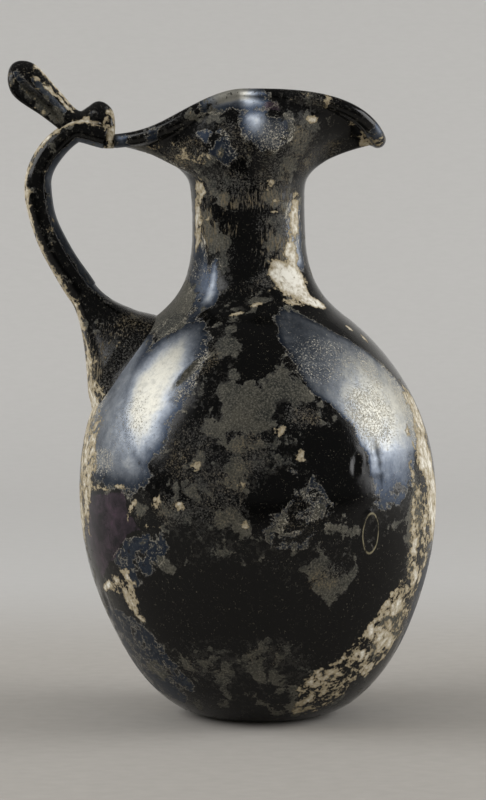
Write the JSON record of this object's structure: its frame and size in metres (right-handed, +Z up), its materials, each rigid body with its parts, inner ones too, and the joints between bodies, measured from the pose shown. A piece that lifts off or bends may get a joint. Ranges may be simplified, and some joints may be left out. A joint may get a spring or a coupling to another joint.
{
  "type": "glass jug",
  "caption": "Small dark glass jug with an egg-shaped body, narrow neck, pinched mouth with a pouring spout, strap handle and folded thumb-rest.",
  "frame": {"origin": "centre of the flat base that the jug stands on", "axes": "+Z up; +X towards the spout, so the handle is on -X; the jug is nearly symmetric across the XZ plane"},
  "size_m": [0.1063, 0.0894, 0.1632],
  "materials": {
    "vessel_glass": "fire-polished black glass with flaking grey film, cream crust and faint iridescence",
    "handle_glass": "drawn black glass with long streaks, cream crust along the outer face",
    "trail_glass": "folded black glass trail with cream crust on its upper edges"
  },
  "bodies": {
    "root": {"blown_vessel": "vessel_glass", "strap_handle": "handle_glass", "thumb_rest": "trail_glass"}
  },
  "joints": []
}
